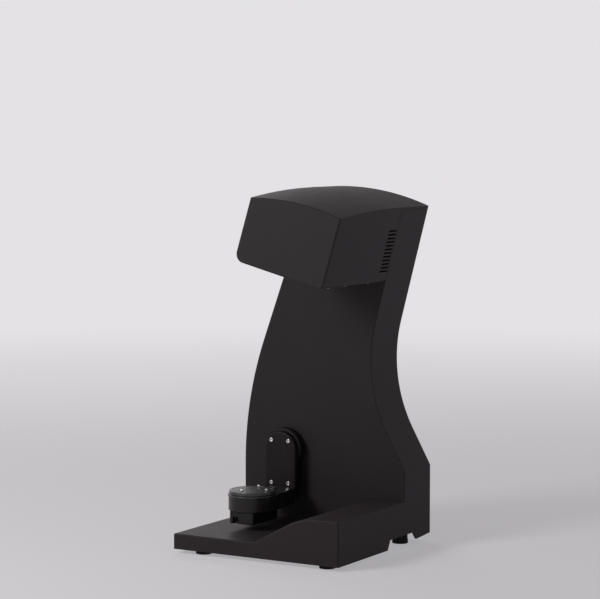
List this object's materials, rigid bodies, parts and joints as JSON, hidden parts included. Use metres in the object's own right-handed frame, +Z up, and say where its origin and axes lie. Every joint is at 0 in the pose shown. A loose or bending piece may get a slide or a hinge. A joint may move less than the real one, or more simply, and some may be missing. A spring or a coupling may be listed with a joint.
{
  "type": "desktop 3-D scanner",
  "caption": "Open desktop 3-D scanner: curved column on a flat base, leaning scanning head above a small turntable on a motorised swing arm.",
  "frame": {"origin": "centre of the footprint, at the height of the surface the rubber feet stand on", "axes": "+Z up, the user stands at -Y, +X to the user's right"},
  "size_m": [0.2434, 0.246, 0.4678],
  "materials": {
    "black_shell": "fine matte moulded texture",
    "black_panel": "matte",
    "arm_black": "smooth satin gloss",
    "arm_matte": "matte",
    "black_metal": "black powder coat",
    "table_black": "black anodised, slight sheen",
    "steel": "bright zinc",
    "pin_steel": "ground",
    "aluminium": "as machined",
    "sheet_steel": "galvanised",
    "bearing_steel": "ground",
    "felt": "felt",
    "rubber": "matt",
    "belt": "matt",
    "glass": "clear window",
    "lens_glass": "coated",
    "camera_metal": "black anodised",
    "projector_black": "matte",
    "board": "solder mask",
    "fan_black": "glass-filled nylon",
    "socket_black": "matte",
    "rocker_black": "gloss"
  },
  "bodies": {
    "frame": {"base_cover": "black_shell", "base_plate": "sheet_steel", "case_screws": "steel", "foot_posts": "black_metal", "rubber_feet": "rubber", "foot_screws": "steel", "column_shell": "black_shell", "rear_panel": "black_panel", "spine": "aluminium", "spine_feet": "sheet_steel", "frame_screws": "steel", "long_spine_screws": "steel", "short_spine_screws": "steel", "head_shell": "black_shell", "head_screws": "steel", "head_bottom_panel": "black_panel", "window_glass": "glass", "window_frame": "black_panel", "optics_beam": "aluminium", "optics_screws": "steel", "projector_housing": "projector_black", "projector_lens": "projector_black", "front_camera": "camera_metal", "rear_camera": "camera_metal", "camera_lenses": "camera_metal", "lens_glasses": "lens_glass", "bearing_housing": "aluminium", "swing_bearings": "bearing_steel", "shaft_seal": "felt", "swing_motor": "black_metal", "swing_belt": "belt", "fan_frame": "fan_black", "fan_screws": "steel", "control_board": "board", "socket_plate": "sheet_steel", "power_inlet": "socket_black", "data_socket": "steel", "power_switch": "socket_black"},
    "swing_arm": {"swing_pulley": "aluminium", "swing_shaft": "bearing_steel", "swing_carrier": "black_metal", "swing_bracket": "table_black", "swing_screws": "steel", "arm_housing": "arm_matte", "arm_top_plate": "arm_black", "access_cap": "arm_black", "arm_lower_cover": "arm_matte", "arm_screws": "steel", "arm_motor_screws": "steel", "spindle_bearings": "bearing_steel", "turntable_motor": "sheet_steel", "arm_belt": "belt"},
    "turntable": {"turntable_disc": "table_black", "turntable_spindle": "aluminium", "locating_pins": "pin_steel"},
    "turntable_motor_shaft": {"turntable_motor_drive": "aluminium"},
    "swing_motor_shaft": {"swing_motor_rotor": "bearing_steel", "swing_motor_pulley": "aluminium"},
    "fan_blades": {"fan_rotor": "fan_black"},
    "rocker": {"power_rocker": "rocker_black"}
  },
  "joints": [
    {"name": "arm_swing", "type": "hinge", "parent": "frame", "child": "swing_arm", "pos_m": [-0.0545, 0.051, 0.1203], "axis": [0, 1, 0], "range_deg": [-60, 60]},
    {"name": "swing_motor_spin", "type": "hinge", "parent": "frame", "child": "swing_motor_shaft", "pos_m": [-0.0545, 0.1, 0.1923], "axis": [0, 1, 0], "range_deg": [-180, 180]},
    {"name": "turntable_spin", "type": "hinge", "parent": "swing_arm", "child": "turntable", "pos_m": [-0.0545, -0.039, 0.076], "axis": [0, 0, 1], "continuous": true},
    {"name": "turntable_motor_spin", "type": "hinge", "parent": "swing_arm", "child": "turntable_motor_shaft", "pos_m": [-0.0545, -0.019, 0.056], "axis": [0, 0, 1], "continuous": true},
    {"name": "fan_spin", "type": "hinge", "parent": "frame", "child": "fan_blades", "pos_m": [0.021, 0.12, 0.39378], "axis": [0, 1, 0], "continuous": true},
    {"name": "power_switch_rock", "type": "hinge", "parent": "frame", "child": "rocker", "pos_m": [0.02, 0.1155, 0.089], "axis": [1, 0, 0], "range_deg": [0, 12]}
  ],
  "couplings": [
    {"joint": "swing_motor_spin", "follows": "arm_swing", "ratio": 3},
    {"joint": "turntable_motor_spin", "follows": "turntable_spin", "ratio": 2.5}
  ]
}
